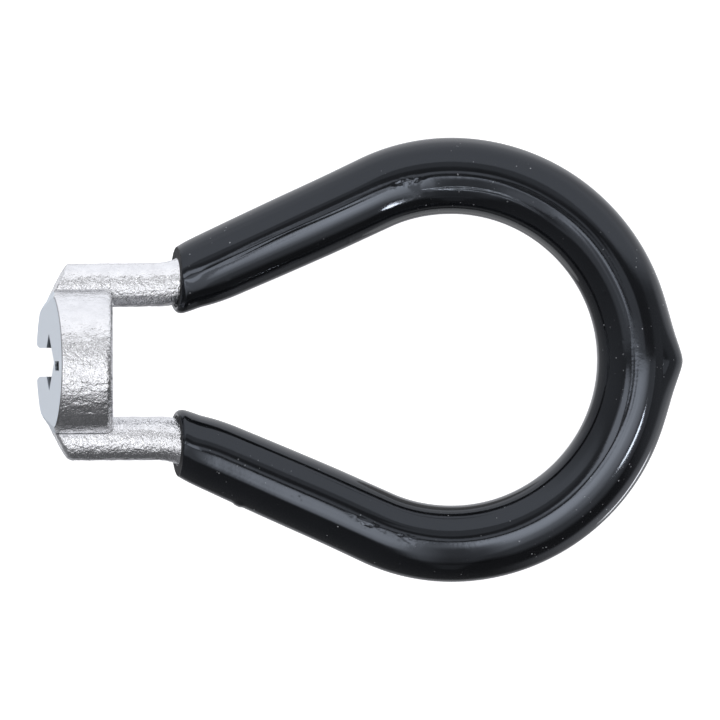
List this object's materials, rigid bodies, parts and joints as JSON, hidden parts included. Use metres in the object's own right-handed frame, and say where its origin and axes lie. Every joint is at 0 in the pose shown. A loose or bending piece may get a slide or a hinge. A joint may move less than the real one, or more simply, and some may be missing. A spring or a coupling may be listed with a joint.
{
  "type": "spoke wrench",
  "caption": "Spoke wrench: a round steel head with an open square nipple socket, two round legs and a vinyl-dipped finger loop.",
  "frame": {"origin": "centre of the milled front face, where the nipple enters the square socket", "axes": "+X from the head to the far end of the finger loop, +Y across the two legs, +Z along the loop plane's normal, away from the side on which the spoke slot opens. The drum's axis is X; legs and loop lie in a plane parallel to XY, 1.4 mm toward -Z; the milled face and the socket lean 10 degrees"},
  "size_m": [0.0563, 0.0388, 0.0122],
  "materials": {
    "plated_steel": "satin nickel plate over fine cast grain, with a smooth milled face",
    "black_vinyl": "glossy black dipped vinyl with long flow lines"
  },
  "bodies": {
    "root": {"cast_body": "plated_steel", "vinyl_grip": "black_vinyl"}
  },
  "joints": []
}
